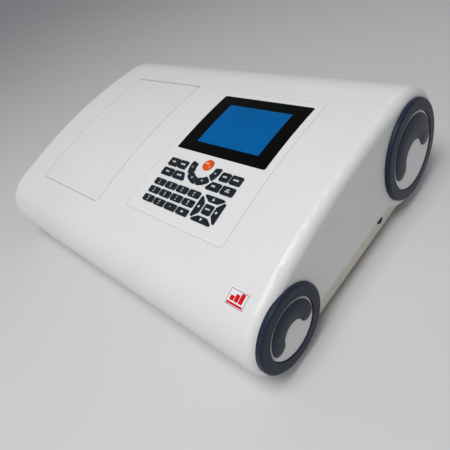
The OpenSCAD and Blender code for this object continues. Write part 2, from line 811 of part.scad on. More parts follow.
module rear_panel() {
    w = rear_panel_w - 0.8;
    h = rear_panel_h - 0.8;
    color([0.25, 0.26, 0.28]) translate([rear_panel_x, 0, rear_panel_z]) difference() {
        translate([-rear_panel_x, 0, -rear_panel_z]) intersection() {
            at_rear_axis() along_x(-body_w, 2 * body_w) circle(rear_roll_r - 0.4, $fn = 180);
            translate([rear_panel_x - w / 2, rear_panel_y - 2, rear_panel_z - h / 2]) cube([w, 20, h]);
        }
        translate([-w / 2 + 2, rear_panel_y, -h / 2 + 2]) cube([w - 4, 30, h - 4]);
        translate([inlet_x - rear_panel_x - 13.6, 150, -10]) cube([27.2, 60, 20]);
        translate([switch_x - rear_panel_x - 5.9, 150, -10.3]) cube([11.8, 60, 20.6]);
    }
    // Bearings of the rocker, behind the plate.
    color([0.25, 0.26, 0.28]) translate([switch_x, rear_panel_y - 4, rear_panel_z]) for (x = [-8.2, 6.2])
        along_x(x, 2) difference() {
            translate([-3.5, -4]) square([6, 8]);
            circle(pivot_r + 0.05);
        }
}

// The inlet's outline in its face, with two clipped corners.
module inlet_outline(w, h, clip) {
    polygon([[-w / 2, -h / 2], [w / 2, -h / 2], [w / 2, h / 2 - clip], [w / 2 - clip, h / 2],
             [clip - w / 2, h / 2], [-w / 2, h / 2 - clip]]);
}

module power_inlet() {
    color(black) translate([inlet_x, rear_panel_y, rear_panel_z]) rotate([90, 0, 0]) {
        difference() {
            union() {
                translate([-15.5, -12, -2.5]) cube([31, 24, 2.5]);
                translate([-13.5, -9.9, -0.1]) cube([27, 19.8, 22]);
            }
            translate([0, 0, -3]) linear_extrude(17) inlet_outline(24, 16.4, 4.5);
        }
        for (p = [[-7, -2], [7, -2], [0, 2.5]]) translate([p[0] - 1, p[1] - 2, 1]) cube([2, 4, 14]);
    }
}

module rocker_switch() {
    color([0.7, 0.1, 0.08]) translate([switch_x, rear_panel_y - 4, rear_panel_z]) rotate([switch_turn, 0, 0]) {
        along_x(-5.5, 11) polygon([[-1, -9.2], [4.6, -9.2], [3.2, 0], [4.6, 9.2], [-1, 9.2], [-6, 0]]);
        along_x(-7.6, 15.2) circle(pivot_r);
    }
}

top_cover();
base_tray();
feet();
cover_screws();
front_rings();
rear_rings();
front_inlays();
rear_inlays();
lid();
hinge_pins();
control_panel();
display_window();
display_module();
key_board();
badge();
sample_well();
cuvette_carriage();
optics_plate();
monochromator();
monochromator_lid();
grating_table();
filter_wheel();
lamp_housing();
lamp();
detector();
main_board();
power_supply();
rear_panel();
power_inlet();
rocker_switch();
start_button();
enter_key();
for (i = [0 : len(DIGITS) - 1])
    digit_place(i) key_solid("plain", DIGIT_SIZE, key_proud, [0, 0]);
for (i = [0 : len(PAD) - 1])
    pad_place(i) key_solid("pad", pad_size(i), key_proud, [(pad_size(i)[0] + pad_size(i)[1]) / 2, 0]);
for (i = [0 : len(ARCS) - 1])
    on_top(ring_at[0], ring_at[1]) key_solid("arc", arc_size(i), key_proud, arc_reach(i));
for (i = [0 : len(FUNCTIONS) - 1])
    function_place(i) key_solid(function_kind(i), function_size(i), key_proud, [0, 0]);
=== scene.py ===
"""Looks of the bench spectrophotometer: finishes, edges, keycaps, legends, screen, badge and studio.

Metres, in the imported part's own frame: X to the right, Y to the rear, Z up.
"""

import json
import math

import bmesh
import bpy
from bpy.props import FloatProperty, FloatVectorProperty, PointerProperty
from mathutils import Matrix, Vector


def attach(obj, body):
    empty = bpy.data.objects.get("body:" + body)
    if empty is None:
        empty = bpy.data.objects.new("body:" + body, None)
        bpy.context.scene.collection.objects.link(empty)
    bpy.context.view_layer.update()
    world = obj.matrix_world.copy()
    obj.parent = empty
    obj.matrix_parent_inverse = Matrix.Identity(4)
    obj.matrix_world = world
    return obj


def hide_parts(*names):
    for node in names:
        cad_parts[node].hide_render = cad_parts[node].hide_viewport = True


bl_info = {
    "name": "Bench Spectrophotometer",
    "version": (1, 0, 0),
    "blender": (4, 5, 0),
    "location": "3D View > Sidebar > Spectrophotometer",
    "description": "Finishes, keycaps, legends, screen, badge and studio of a bench spectrophotometer",
    "category": "Object",
}

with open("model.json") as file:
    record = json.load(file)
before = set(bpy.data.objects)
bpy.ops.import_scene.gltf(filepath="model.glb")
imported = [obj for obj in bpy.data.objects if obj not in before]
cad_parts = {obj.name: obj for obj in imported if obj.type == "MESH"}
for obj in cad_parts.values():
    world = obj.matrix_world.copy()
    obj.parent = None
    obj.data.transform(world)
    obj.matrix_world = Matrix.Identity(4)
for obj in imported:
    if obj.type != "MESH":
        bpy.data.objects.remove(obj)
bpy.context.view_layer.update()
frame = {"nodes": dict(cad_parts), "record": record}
NODES = frame["nodes"]

MM = 0.001
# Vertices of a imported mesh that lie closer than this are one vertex.
WELD = 0.002 * MM
# A face counts as a key's top when its normal leans up at least this much.
FACES_UP = 0.9
# Two normals with at least this dot product point the same way.
SAME_WAY = 0.999
# A key's top has more area than this, in square metres, and its faces lie within the slack of one level.
SMALLEST_TOP = 1e-5
LEVEL_SLACK = 2e-5

# Radius of the dome on the start button.
DOME_R = 12.83 * MM
# The cover's long top arc and the roll along its front, in the side view, and where they meet.
ARC_Y, ARC_Z, ARC_R = 0.130283, -0.739996, 0.915
ROLL_Y, ROLL_Z, ROLL_R = -0.158, 0.066, 0.059
MEET_LEAN = math.asin((ROLL_Y - ARC_Y) / (ARC_R - ROLL_R))
MEET_Y = ROLL_Y + ROLL_R * math.sin(MEET_LEAN)

DIGIT_NODES = [f"digit_key_{n}" for n in (1, 2, 3, 4, 5, 6, 7, 8, 9, 0)]
PAD_NODES = ["up_key", "left_key", "down_key", "right_key"]
ARC_NODES = [f"arc_key_{n}" for n in range(1, 5)]
FUNCTION_NODES = [f"function_key_{n}" for n in range(1, 9)]
CAP_NODES = [*DIGIT_NODES, "point_key", "clear_key", "enter_key", *PAD_NODES, *ARC_NODES, *FUNCTION_NODES]


# ---- what a user may change ----


class SPECTRO_PG_colours(bpy.types.PropertyGroup):
    """Colours of the finishes."""

    cover: FloatVectorProperty(
        name="Cover", description="Moulded cover, lid and panel", subtype="COLOR",
        default=(0.80, 0.795, 0.785), min=0, max=1
    )
    trim: FloatVectorProperty(
        name="Trim", description="End rings and their inlays", subtype="COLOR",
        default=(0.022, 0.029, 0.054), min=0, max=1
    )
    keys: FloatVectorProperty(
        name="Keys", description="Keycaps", subtype="COLOR", default=(0.009, 0.016, 0.025), min=0, max=1
    )
    start: FloatVectorProperty(
        name="Start button", description="Round start button", subtype="COLOR",
        default=(0.80, 0.095, 0.004), min=0, max=1
    )
    screen: FloatVectorProperty(
        name="Screen", description="Lit picture area", subtype="COLOR",
        default=(0.0015, 0.125, 0.39), min=0, max=1
    )
    tray: FloatVectorProperty(
        name="Tray", description="Painted base tray", subtype="COLOR", default=(0.88, 0.82, 0.72),
        min=0, max=1
    )


class SPECTRO_PG_keys(bpy.types.PropertyGroup):
    """Sizes of the keycaps and their print."""

    slope: FloatProperty(
        name="Slope width", description="Width of the sloped rim round a keycap's flat top",
        default=1.25 * MM, subtype="DISTANCE", unit="LENGTH"
    )
    fall: FloatProperty(
        name="Slope fall", description="How far that rim falls", default=0.6 * MM,
        subtype="DISTANCE", unit="LENGTH"
    )
    edge: FloatProperty(
        name="Edge rounding", description="Rounding of a keycap's edges", default=0.28 * MM,
        subtype="DISTANCE", unit="LENGTH"
    )
    print_height: FloatProperty(
        name="Print height", description="Thickness of the printed legends", default=0.05 * MM,
        subtype="DISTANCE", unit="LENGTH"
    )


class SPECTRO_PG_stage(bpy.types.PropertyGroup):
    """Floor, light and camera."""

    floor: FloatVectorProperty(
        name="Floor", description="Colour of the floor", subtype="COLOR",
        default=(0.69, 0.69, 0.69), min=0, max=1
    )
    azimuth: FloatProperty(
        name="Camera azimuth", description="Turn of the camera round the object",
        default=math.radians(53.67), subtype="ANGLE", unit="ROTATION"
    )
    elevation: FloatProperty(
        name="Camera elevation", description="Height of the camera over the horizon",
        default=math.radians(38.747), subtype="ANGLE", unit="ROTATION"
    )
    roll: FloatProperty(
        name="Camera roll", description="Tilt of the camera about its view",
        default=math.radians(-21.198), subtype="ANGLE", unit="ROTATION"
    )
    distance: FloatProperty(
        name="Camera distance", description="From the camera to the point that it looks at",
        default=0.624028, subtype="DISTANCE", unit="LENGTH"
    )
    key_power: FloatProperty(
        name="Key light", description="Power of the large light above the front", default=25.0,
        unit="POWER"
    )
    fill_power: FloatProperty(
        name="Fill light", description="Power of the low light at the front", default=4.5,
        unit="POWER"
    )


def settings():
    """What the user may change, on the scene."""
    return bpy.context.scene.spectro


class SPECTRO_PG_settings(bpy.types.PropertyGroup):
    """All settings of the instrument."""

    colours: PointerProperty(
        type=SPECTRO_PG_colours, name="Colours", description="Colours of the finishes"
    )
    keys: PointerProperty(type=SPECTRO_PG_keys, name="Keys", description="Sizes of the keycaps")
    stage: PointerProperty(type=SPECTRO_PG_stage, name="Stage", description="Floor, light and camera")


# ---- places on the cover ----


def on_skin(x, y, lift=0.0):
    """The point at (x, y) on the cover's top, lifted along the surface's normal."""
    if y < MEET_Y:
        lean = math.asin((y - ROLL_Y) / ROLL_R)
        centre, radius = (ROLL_Y, ROLL_Z), ROLL_R + lift
    else:
        lean = math.asin((y - ARC_Y) / ARC_R)
        centre, radius = (ARC_Y, ARC_Z), ARC_R + lift
    return Vector((x, centre[0] + radius * math.sin(lean), centre[1] + radius * math.cos(lean)))


# ---- meshes ----


def finish_mesh(name, bm, sharp=35.0):
    """Turns a bmesh into an object with smooth faces and sharp edges where it bends."""
    bmesh.ops.recalc_face_normals(bm, faces=bm.faces)
    mesh = bpy.data.meshes.new(name)
    bm.to_mesh(mesh)
    bm.free()
    mesh.polygons.foreach_set("use_smooth", [True] * len(mesh.polygons))
    mesh.set_sharp_from_angle(angle=math.radians(sharp))
    made = bpy.data.objects.new(name, mesh)
    bpy.context.scene.collection.objects.link(made)
    return made


def dress(piece, material, body, slot, *stands_for):
    """Gives a piece its material and its body, and hides the nodes that it stands for; the slot is not used.
    """
    piece.data.materials.clear()
    piece.data.materials.append(material)
    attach(piece, body)
    if stands_for:
        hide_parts(*stands_for)


def prism(bm, outline, to_world, low, high):
    """A closed prism over an outline of (x, y) points, between two heights."""
    rings = [[bm.verts.new(to_world(x, y, h)) for x, y in outline] for h in (low, high)]
    count = len(outline)
    bm.faces.new(list(reversed(rings[0])))
    bm.faces.new(rings[1])
    for i in range(count):
        j = (i + 1) % count
        bm.faces.new((rings[0][i], rings[0][j], rings[1][j], rings[1][i]))


def rounded_box(width, length, radius, steps=4):
    """Outline of a rectangle with round corners, round the origin."""
    points = []
    for cx, cy, start in ((1, 1, 0), (-1, 1, 90), (-1, -1, 180), (1, -1, 270)):
        for k in range(steps + 1):
            a = math.radians(start + 90 * k / steps)
            points.append(
                (
                    cx * (width / 2 - radius) + radius * math.cos(a),
                    cy * (length / 2 - radius) + radius * math.sin(a)
                )
            )
    return points


# ---- shader groups ----


def node_group(name, inputs, outputs):
    """An empty shader group with named sockets."""
    group = bpy.data.node_groups.new(name, "ShaderNodeTree")
    for label, kind, default in inputs:
        socket = group.interface.new_socket(label, in_out="INPUT", socket_type=kind)
        socket.default_value = default
    for label, kind in outputs:
        group.interface.new_socket(label, in_out="OUTPUT", socket_type=kind)
    return group, group.nodes.new("NodeGroupInput"), group.nodes.new("NodeGroupOutput")


def add(tree, kind, **values):
    """A new node with the given properties set."""
    node = tree.nodes.new(kind)
    for key, value in values.items():
        setattr(node, key, value)
    return node


def noise(tree, vector, scale, detail, rough):
    """Noise between 0 and 1; its scale is a number or a socket."""
    node = add(tree, "ShaderNodeTexNoise")
    if isinstance(scale, (int, float)):
        node.inputs["Scale"].default_value = scale
    else:
        tree.links.new(scale, node.inputs["Scale"])
    node.inputs["Detail"].default_value = detail
    node.inputs["Roughness"].default_value = rough
    tree.links.new(vector, node.inputs["Vector"])
    return node.outputs["Fac"]


def math_node(tree, operation, *values, clamp=False):
    """A sum, product or test of numbers and sockets."""
    node = add(tree, "ShaderNodeMath", operation=operation, use_clamp=clamp)
    for socket, value in zip(node.inputs, values):
        if isinstance(value, (int, float)):
            socket.default_value = value
        else:
            tree.links.new(value, socket)
    return node.outputs[0]


def ranged(tree, value, low, high, to_low, to_high):
    """A value mapped from one range to another."""
    node = add(tree, "ShaderNodeMapRange")
    labels = ("Value", "From Min", "From Max", "To Min", "To Max")
    for label, item in zip(labels, (value, low, high, to_low, to_high)):
        socket = node.inputs[label]
        if isinstance(item, (int, float)):
            socket.default_value = item
        else:
            tree.links.new(item, socket)
    return node.outputs["Result"]


def mixed(tree, share, a, b, blend="MIX"):
    """Two colours mixed; each is a tuple or a socket."""
    node = add(tree, "ShaderNodeMix", data_type="RGBA", blend_type=blend)
    sockets = [s for s in node.inputs if s.enabled]
    for socket, item in zip(sockets, (share, a, b)):
        if isinstance(item, (int, float)):
            socket.default_value = item
        elif isinstance(item, (tuple, list)):
            socket.default_value = (*item[:3], 1.0)
        else:
            tree.links.new(item, socket)
    return [s for s in node.outputs if s.enabled][0]


def surface_point(tree):
    """The point in the object's own frame."""
    return add(tree, "ShaderNodeTexCoord").outputs["Object"]


def make_moulded_skin():
    """Spark-eroded plastic or paint: fine grain, faint clouding and a soft change of gloss."""
    group, given, out = node_group(
        "Moulded Skin",
        [
            ("Colour", "NodeSocketColor", (0.8, 0.8, 0.8, 1.0)),
            ("Shade", "NodeSocketColor", (0.7, 0.7, 0.7, 1.0)),
            ("Grain Scale", "NodeSocketFloat", 1500.0),
            ("Cloud Scale", "NodeSocketFloat", 9.0),
            ("Roughness", "NodeSocketFloat", 0.4),
            ("Roughness Change", "NodeSocketFloat", 0.08),
        ],
        [("Colour", "NodeSocketColor"), ("Roughness", "NodeSocketFloat"), ("Height", "NodeSocketFloat")],
    )
    point = surface_point(group)
    cloud = noise(group, point, given.outputs["Cloud Scale"], 3.0, 0.55)
    grain = noise(group, point, given.outputs["Grain Scale"], 2.0, 0.6)
    share = ranged(group, cloud, 0.35, 0.7, 0.0, 1.0)
    colour = mixed(group, share, given.outputs["Colour"], given.outputs["Shade"])
    change = math_node(
        group, "MULTIPLY", math_node(group, "SUBTRACT", cloud, 0.5),
        given.outputs["Roughness Change"]
    )
    rough = math_node(group, "ADD", given.outputs["Roughness"], change, clamp=True)
    group.links.new(colour, out.inputs["Colour"])
    group.links.new(rough, out.inputs["Roughness"])
    group.links.new(grain, out.inputs["Height"])
    return group


def make_settled_dust():
    """A faint film of dust that lies on what faces up."""
    group, given, out = node_group(
        "Settled Dust",
        [("Colour", "NodeSocketColor", (0.5, 0.5, 0.5, 1.0)), ("Amount", "NodeSocketFloat", 0.1)],
        [("Colour", "NodeSocketColor")],
    )
    facing = add(group, "ShaderNodeSeparateXYZ")
    group.links.new(add(group, "ShaderNodeNewGeometry").outputs["Normal"], facing.inputs[0])
    up = ranged(group, facing.outputs["Z"], 0.2, 1.0, 0.0, 1.0)
    specks = ranged(group, noise(group, surface_point(group), 140.0, 4.0, 0.7), 0.42, 0.72, 0.0, 1.0)
    mask = math_node(
        group, "MULTIPLY", math_node(group, "MULTIPLY", up, specks), given.outputs["Amount"],
        clamp=True
    )
    group.links.new(
        mixed(group, mask, given.outputs["Colour"], (0.55, 0.53, 0.50)), out.inputs["Colour"]
    )
    return group


def make_brushed_metal():
    """Rolled or brushed sheet: long fine scratches along one direction."""
    group, given, out = node_group(
        "Brushed Sheet",
        [
            ("Colour", "NodeSocketColor", (0.7, 0.7, 0.7, 1.0)),
            ("Stretch", "NodeSocketVector", (4.0, 700.0, 700.0)),
            ("Roughness", "NodeSocketFloat", 0.35),
        ],
        [("Colour", "NodeSocketColor"), ("Roughness", "NodeSocketFloat"), ("Height", "NodeSocketFloat")],
    )
    scaled = add(group, "ShaderNodeVectorMath", operation="MULTIPLY")
    group.links.new(surface_point(group), scaled.inputs[0])
    group.links.new(given.outputs["Stretch"], scaled.inputs[1])
    lines = noise(group, scaled.outputs[0], 1.0, 3.0, 0.6)
    blotch = noise(group, surface_point(group), 28.0, 3.0, 0.5)
    tone = ranged(group, lines, 0.3, 0.7, 0.86, 1.06)
    colour = mixed(group, 1.0, given.outputs["Colour"], add_grey(group, tone), "MULTIPLY")
    rough = math_node(
        group, "ADD", given.outputs["Roughness"], ranged(group, blotch, 0.3, 0.7, -0.06, 0.08),
        clamp=True
    )
    group.links.new(colour, out.inputs["Colour"])
    group.links.new(rough, out.inputs["Roughness"])
    group.links.new(lines, out.inputs["Height"])
    return group


def add_grey(tree, value):
    """A grey of one value."""
    node = add(tree, "ShaderNodeCombineColor")
    for socket in node.inputs:
        tree.links.new(value, socket)
    return node.outputs[0]


def make_board_tracks():
    """Solder mask over copper: tracks, pads and vias on a grid."""
    group, given, out = node_group(
        "Board Tracks",
        [
            ("Mask", "NodeSocketColor", (0.02, 0.16, 0.06, 1.0)),
            ("Track", "NodeSocketColor", (0.05, 0.28, 0.11, 1.0)),
            ("Pad", "NodeSocketColor", (0.72, 0.70, 0.62, 1.0)),
        ],
        [("Colour", "NodeSocketColor"), ("Metal", "NodeSocketFloat"), ("Height", "NodeSocketFloat")],
    )
    point = surface_point(group)
    bricks = add(group, "ShaderNodeTexBrick", offset=0.37, squash=1.6)
    bricks.inputs["Scale"].default_value = 95.0
    bricks.inputs["Mortar Size"].default_value = 0.07
    group.links.new(point, bricks.inputs["Vector"])
    cells = add(group, "ShaderNodeTexVoronoi")
    cells.inputs["Scale"].default_value = 210.0
    group.links.new(point, cells.inputs["Vector"])
    pad = math_node(group, "LESS_THAN", cells.outputs["Distance"], 0.16)
    tracks = mixed(group, bricks.outputs["Fac"], given.outputs["Mask"], given.outputs["Track"])
    group.links.new(mixed(group, pad, tracks, given.outputs["Pad"]), out.inputs["Colour"])
    group.links.new(pad, out.inputs["Metal"])
    group.links.new(math_node(group, "ADD", bricks.outputs["Fac"], pad), out.inputs["Height"])
    return group


# ---- materials ----


def shader(name, **uniform):
    """A material with one Principled shader; uniform values go on the shader's own sockets."""
    made = bpy.data.materials.new(name)
    made.use_nodes = True
    tree = made.node_tree
    surface = tree.nodes["Principled BSDF"]
    for label, value in uniform.items():
        surface.inputs[label.replace("_", " ")].default_value = value
    return made, tree, surface


def bump(tree, surface, height, strength, distance):
    """Puts a height on the shader's normal."""
    node = add(tree, "ShaderNodeBump")
    node.inputs["Strength"].default_value = strength
    node.inputs["Distance"].default_value = distance
    tree.links.new(height, node.inputs["Height"])
    tree.links.new(node.outputs["Normal"], surface.inputs["Normal"])


def skin_material(name, colour, shade, rough, grain=1500.0, depth=0.12, dust=0.0, cloud=9.0, **uniform):
    """Plastic, rubber, paint or casting."""
    made, tree, surface = shader(name, **uniform)
    skin = add(tree, "ShaderNodeGroup", node_tree=bpy.data.node_groups["Moulded Skin"])
    skin.inputs["Colour"].default_value = (*colour, 1.0)
    skin.inputs["Shade"].default_value = (*shade, 1.0)
    skin.inputs["Grain Scale"].default_value = grain
    skin.inputs["Cloud Scale"].default_value = cloud
    skin.inputs["Roughness"].default_value = rough
    tint = skin.outputs["Colour"]
    if dust:
        film = add(tree, "ShaderNodeGroup", node_tree=bpy.data.node_groups["Settled Dust"])
        film.inputs["Amount"].default_value = dust
        tree.links.new(tint, film.inputs["Colour"])
        tint = film.outputs["Colour"]
    tree.links.new(tint, surface.inputs["Base Color"])
    tree.links.new(skin.outputs["Roughness"], surface.inputs["Roughness"])
    bump(tree, surface, skin.outputs["Height"], depth, 0.05 * MM)
    return made


def metal_material(name, colour, rough, stretch, depth=0.1, metallic=1.0):
    """Sheet, plate or turned metal; stretch is the scale of its scratches along X, Y and Z."""
    made, tree, surface = shader(name, Metallic=metallic)
    sheet = add(tree, "ShaderNodeGroup", node_tree=bpy.data.node_groups["Brushed Sheet"])
    sheet.inputs["Colour"].default_value = (*colour, 1.0)
    sheet.inputs["Stretch"].default_value = stretch
    sheet.inputs["Roughness"].default_value = rough
    tree.links.new(sheet.outputs["Colour"], surface.inputs["Base Color"])
    tree.links.new(sheet.outputs["Roughness"], surface.inputs["Roughness"])
    bump(tree, surface, sheet.outputs["Height"], depth, 0.03 * MM)
    return made


def board_material(name):
    """Circuit board: solder mask, tracks and bright pads."""
    made, tree, surface = shader(name, Roughness=0.35)
    tracks = add(tree, "ShaderNodeGroup", node_tree=bpy.data.node_groups["Board Tracks"])
    tree.links.new(tracks.outputs["Colour"], surface.inputs["Base Color"])
    tree.links.new(tracks.outputs["Metal"], surface.inputs["Metallic"])
    bump(tree, surface, tracks.outputs["Height"], 0.3, 0.05 * MM)
    return made


# Pitch of the picture's cells, and the share of it that is the dark line between two cells.
PICTURE_CELL = 0.36 * MM
CELL_LINE = 0.12


def screen_material(name, colour):
    """A lit liquid-crystal picture: flat colour, faint cells and a slightly uneven back light."""
    made, tree, surface = shader(name, Roughness=0.4, Emission_Strength=0.6, Specular_IOR_Level=0.04)
    point = surface_point(tree)
    glow = ranged(tree, noise(tree, point, 16.0, 2.0, 0.4), 0.3, 0.7, 0.92, 1.08)
    parts = add(tree, "ShaderNodeSeparateXYZ")
    tree.links.new(point, parts.inputs[0])
    cell = 1 / PICTURE_CELL
    rows = [
        math_node(
            tree, "GREATER_THAN",
            math_node(tree, "FRACT", math_node(tree, "MULTIPLY", parts.outputs[i], cell)), CELL_LINE
        )
        for i in (0, 1)
    ]
    cells = ranged(tree, math_node(tree, "MULTIPLY", *rows), 0.0, 1.0, 0.86, 1.0)
    tone = add_grey(tree, math_node(tree, "MULTIPLY", glow, cells))
    lit = mixed(tree, 1.0, colour, tone, "MULTIPLY")
    tree.links.new(mixed(tree, 0.75, lit, (0.0, 0.0, 0.0)), surface.inputs["Base Color"])
    tree.links.new(lit, surface.inputs["Emission Color"])
    return made


def scaled(colour, by):
    """A colour made darker or lighter."""
    return tuple(v * by for v in colour)


def make_materials():
    """Every finish, by the name of its slot, and the two finishes of the badge by their own names."""
    c = settings().colours
    cover, trim, keys = tuple(c.cover), tuple(c.trim), tuple(c.keys)
    make_moulded_skin()
    make_settled_dust()
    make_brushed_metal()
    make_board_tracks()

    return {
        "cover_plastic": skin_material(
            "Cover Plastic", cover, scaled(cover, 0.965), 0.42, grain=2200.0, depth=0.10, dust=0.02,
            Coat_Roughness=0.35, Coat_Weight=0.08
        ),
        "panel_plastic": skin_material(
            "Panel Plastic", scaled(cover, 1.01), scaled(cover, 0.985), 0.40, grain=2600.0,
            depth=0.08, dust=0.02
        ),
        "slate_trim": skin_material(
            "Slate Trim", trim, scaled(trim, 0.78), 0.36, grain=1900.0, depth=0.14, dust=0.01,
            Specular_IOR_Level=0.16
        ),
        "window_acrylic": skin_material(
            "Window Acrylic", (0.0022, 0.0026, 0.0024), (0.0015, 0.0018, 0.0017), 0.3, grain=300.0,
            depth=0.01, Specular_IOR_Level=0.05
        ),
        "display_glass": screen_material("Lit Screen", tuple(c.screen)),
        "key_rubber": skin_material(
            "Key Rubber", keys, scaled(keys, 0.75), 0.4, grain=3200.0, depth=0.2, dust=0.02,
            Specular_IOR_Level=0.16
        ),
        "start_orange": skin_material(
            "Start Orange", tuple(c.start), scaled(tuple(c.start), 0.86), 0.3, grain=1600.0,
            depth=0.04, Specular_IOR_Level=0.12, Coat_Weight=0.08, Coat_Roughness=0.05
        ),
        "white_print": skin_material(
            "White Print", (0.86, 0.88, 0.90), (0.78, 0.80, 0.82), 0.6, grain=5200.0, depth=0.2
        ),
        "tray_paint": skin_material(
            "Tray Paint", tuple(c.tray), scaled(tuple(c.tray), 0.9), 0.48, grain=2600.0, depth=0.25
        ),
        "foot_rubber": skin_material(
            "Foot Rubber", (0.012, 0.012, 0.012), (0.02, 0.02, 0.02), 0.72, grain=1400.0, depth=0.4
        ),
        "black_screw": metal_material(
            "Black Screw", (0.035, 0.035, 0.037), 0.36, (900.0, 900.0, 900.0), 0.12, 0.8
        ),
        "pin_steel": metal_material("Pin Steel", (0.62, 0.62, 0.63), 0.24, (6.0, 900.0, 900.0)),
        "well_black": skin_material(
            "Well Black", (0.010, 0.010, 0.011), (0.016, 0.016, 0.017), 0.55, grain=1300.0,
            depth=0.35, dust=0.04
        ),
        "carriage_black": skin_material(
            "Carriage Anodised", (0.018, 0.018, 0.020), (0.026, 0.026, 0.030), 0.38, grain=2500.0,
            depth=0.2, Metallic=0.7
        ),
        "plate_aluminium": metal_material(
            "Plate Aluminium", (0.72, 0.73, 0.74), 0.34, (5.0, 800.0, 800.0)
        ),
        "sheet_aluminium": metal_material(
            "Sheet Aluminium", (0.66, 0.67, 0.68), 0.42, (500.0, 5.0, 500.0)
        ),
        "black_casting": skin_material(
            "Black Casting", (0.022, 0.022, 0.024), (0.035, 0.035, 0.037), 0.62, grain=700.0,
            depth=0.7
        ),
        "black_aluminium": metal_material(
            "Black Aluminium", (0.05, 0.05, 0.055), 0.4, (300.0, 300.0, 300.0), 0.1, 0.85
        ),
        "grating_mount": metal_material("Grating Mount", (0.66, 0.60, 0.42), 0.3, (300.0, 900.0, 20.0)),
        "lamp_glass": skin_material(
            "Lamp Envelope", (0.80, 0.80, 0.78), (0.62, 0.60, 0.56), 0.12, grain=400.0, depth=0.02,
            Coat_Weight=0.5, Coat_Roughness=0.05
        ),
        "detector_case": metal_material(
            "Detector Case", (0.16, 0.16, 0.17), 0.45, (20.0, 20.0, 700.0), 0.1, 0.9
        ),
        "circuit_board": board_material("Circuit Board"),
        "supply_steel": metal_material("Supply Steel", (0.60, 0.61, 0.62), 0.36, (700.0, 8.0, 700.0)),
        "rear_plastic": skin_material(
            "Rear Plastic", (0.035, 0.037, 0.042), (0.045, 0.047, 0.052), 0.5, grain=1500.0,
            depth=0.3, dust=0.04
        ),
        "inlet_plastic": skin_material(
            "Inlet Plastic", (0.012, 0.012, 0.013), (0.02, 0.02, 0.02), 0.42, grain=1900.0,
            depth=0.2
        ),
        "rocker_plastic": skin_material(
            "Rocker Plastic", (0.42, 0.012, 0.010), (0.34, 0.010, 0.008), 0.28, grain=2000.0,
            depth=0.06
        ),
        "badge_red": skin_material(
            "Badge Red", (0.70, 0.006, 0.006), (0.60, 0.005, 0.005), 0.5, grain=3000.0, depth=0.05,
            Specular_IOR_Level=0.12
        ),
        "badge_maroon": skin_material(
            "Badge Maroon", (0.20, 0.012, 0.014), (0.15, 0.010, 0.012), 0.5, grain=3000.0,
            depth=0.05, Specular_IOR_Level=0.12
        ),
    }


FINISHES = {}


# ---- operators ----


class SPECTRO_OT_finishes(bpy.types.Operator):
    """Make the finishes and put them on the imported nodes"""

    bl_idname = "spectro.finishes"
    bl_label = "Finishes"

    def execute(self, context):
        FINISHES.clear()
        FINISHES.update(make_materials())
        slots = {s["node"]: s["material_slot"] for s in frame["record"]["subparts"]}
        for node, part in NODES.items():
            part.data.materials.clear()
            part.data.materials.append(FINISHES[slots[node]])
        return {"FINISHED"}


class SPECTRO_OT_edges(bpy.types.Operator):
    """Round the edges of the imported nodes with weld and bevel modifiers"""

    bl_idname = "spectro.edges"
    bl_label = "Edges"

    ANGLE = math.radians(40)
    # Width of each node's bevel, in millimetres.
    EDGES = {
        "front_inlays": 0.4, "rear_inlays": 0.4, "rear_panel": 0.3, "cuvette_carriage": 0.3,
        "optics_plate": 0.4,
        "monochromator": 0.4, "monochromator_lid": 0.3, "lamp_housing": 0.3, "detector": 0.5,
        "power_supply": 0.3,
        "rocker_switch": 0.3, "power_inlet": 0.25,
    }

    def execute(self, context):
        for node, width in self.EDGES.items():
            part = NODES[node]
            part.data.polygons.foreach_set("use_smooth", [True] * len(part.data.polygons))
            weld = part.modifiers.new("Weld", "WELD")
            weld.merge_threshold = WELD
            bevel = part.modifiers.new("Bevel", "BEVEL")
            bevel.width = width * MM
            bevel.segments = 2
            bevel.limit_method = "ANGLE"
            bevel.angle_limit = self.ANGLE
            bevel.harden_normals = True
        return {"FINISHED"}


def key_face(node):
    """The highest flat face of a key, as (centre, normal)."""
    mesh = NODES[node].data
    areas = {}
    for face in mesh.polygons:
        if face.normal.z > FACES_UP:
            height = round(face.normal.dot(face.center), 5)
            areas[height] = areas.get(height, 0.0) + face.area
    best = max(h for h, area in areas.items() if area > SMALLEST_TOP)
    low, high, normal = Vector([math.inf] * 3), Vector([-math.inf] * 3), None
    for face in mesh.polygons:
        if face.normal.z > FACES_UP and abs(face.normal.dot(face.center) - best) < LEVEL_SLACK:
            normal = face.normal.copy()
            for i in face.vertices:
                p = mesh.vertices[i].co
                low = Vector(map(min, low, p))
                high = Vector(map(max, high, p))
    return (low + high) / 2, normal


